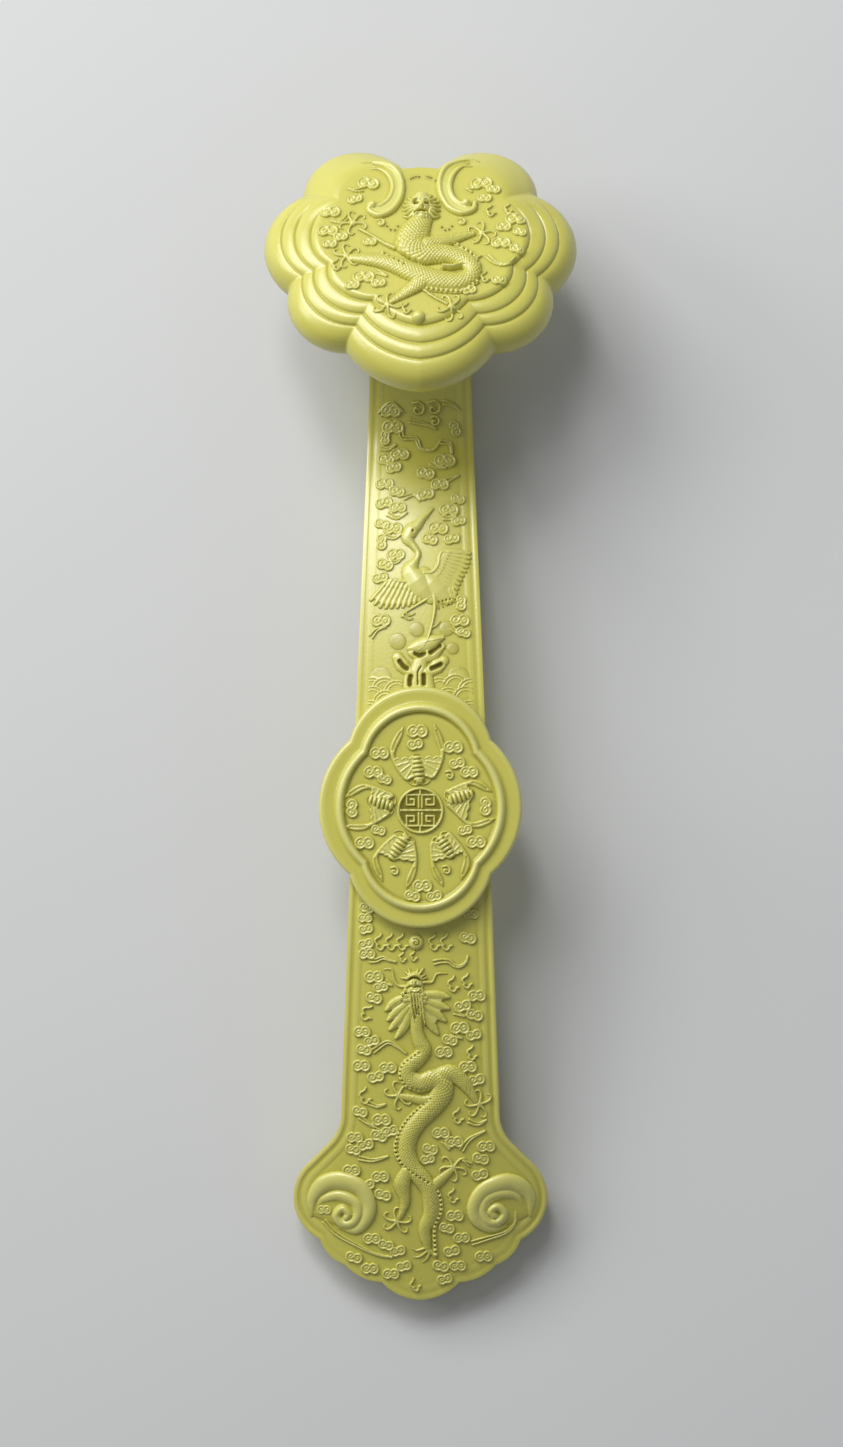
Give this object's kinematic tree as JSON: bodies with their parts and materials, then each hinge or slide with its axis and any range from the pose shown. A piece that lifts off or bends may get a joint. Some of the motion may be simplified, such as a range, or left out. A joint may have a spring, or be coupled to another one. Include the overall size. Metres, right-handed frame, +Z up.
{
  "type": "ruyi sceptre",
  "caption": "Yellow-glazed porcelain ruyi sceptre: lobed stepped head on a bent neck, arched tapering shaft with a quatrefoil medallion, and a lobed volute tail, all with modelled relief.",
  "frame": {"origin": "on the table under the middle of the overall box, sceptre lying on its back", "axes": "+Y from the tail to the head, +Z up out of the face, +X to the right seen from above with the head up"},
  "size_m": [0.1132, 0.422, 0.0828],
  "materials": {
    "face_glaze": "semi-gloss lemon-yellow glaze, paler on edges and deeper in recesses",
    "relief_glaze": "semi-gloss lemon-yellow glaze over modelled relief",
    "back_glaze": null
  },
  "bodies": {
    "root": {"bat_left": "relief_glaze", "bat_lower_left": "relief_glaze", "bat_lower_right": "relief_glaze", "bat_right": "relief_glaze", "bat_top": "relief_glaze", "crane_body": "relief_glaze", "crane_legs": "relief_glaze", "crane_neck": "relief_glaze", "crane_wing_left": "relief_glaze", "crane_wing_right": "relief_glaze", "dragon_body": "relief_glaze", "dragon_claws": "relief_glaze", "dragon_head": "relief_glaze", "dragon_legs": "relief_glaze", "dragon_mane": "relief_glaze", "dragon_neck": "relief_glaze", "fret_roundel": "relief_glaze", "head_back_plate": "back_glaze", "head_cap": "face_glaze", "head_clouds": "relief_glaze", "head_dragon_body": "relief_glaze", "head_dragon_claws": "relief_glaze", "head_dragon_legs": "relief_glaze", "head_dragon_mask": "relief_glaze", "head_pearl": "relief_glaze", "head_scroll_left": "relief_glaze", "head_scroll_right": "relief_glaze", "lower_clouds": "relief_glaze", "medallion_clouds": "relief_glaze", "medallion_plaque": "face_glaze", "pearl": "relief_glaze", "pearl_flames": "relief_glaze", "rock": "relief_glaze", "shaft_back_shell": "back_glaze", "shaft_front_shell": "face_glaze", "tail_clouds": "relief_glaze", "tail_volute_left": "relief_glaze", "tail_volute_right": "relief_glaze", "upper_clouds": "relief_glaze", "wave_bands": "relief_glaze"}
  },
  "joints": []
}
